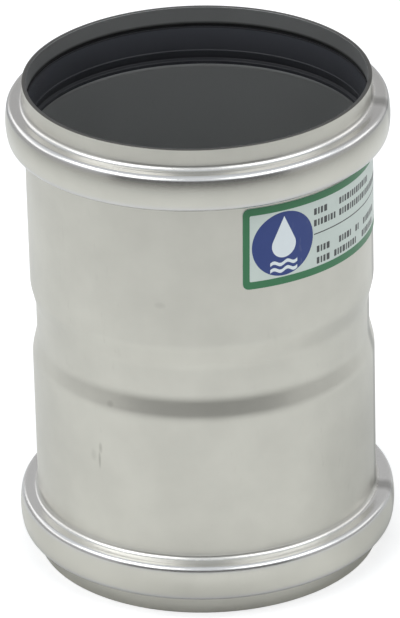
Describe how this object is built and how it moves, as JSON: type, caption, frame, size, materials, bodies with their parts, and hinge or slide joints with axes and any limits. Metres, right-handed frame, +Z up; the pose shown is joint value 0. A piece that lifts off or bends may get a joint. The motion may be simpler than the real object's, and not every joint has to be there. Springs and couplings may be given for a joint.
{
  "type": "double socket coupling",
  "caption": "Thin-walled steel pipe coupling with a push-fit socket at each end, a rubber seal ring in each bead and a label on its side.",
  "frame": {"origin": "centre of the lower mouth's end face, on which the coupling stands", "axes": "+Z up along the bore; +Y away from the picture's camera, so that the label is on the +X side towards -Y"},
  "size_m": [0.0935, 0.0934, 0.125],
  "materials": {
    "steel": "pickled, matt, with burnished beads",
    "seal_rubber": "satin black",
    "label_film": "printed film, satin"
  },
  "bodies": {
    "root": {"coupling_body": "steel", "upper_seal_ring": "seal_rubber", "lower_seal_ring": "seal_rubber", "label": "label_film"}
  },
  "joints": []
}
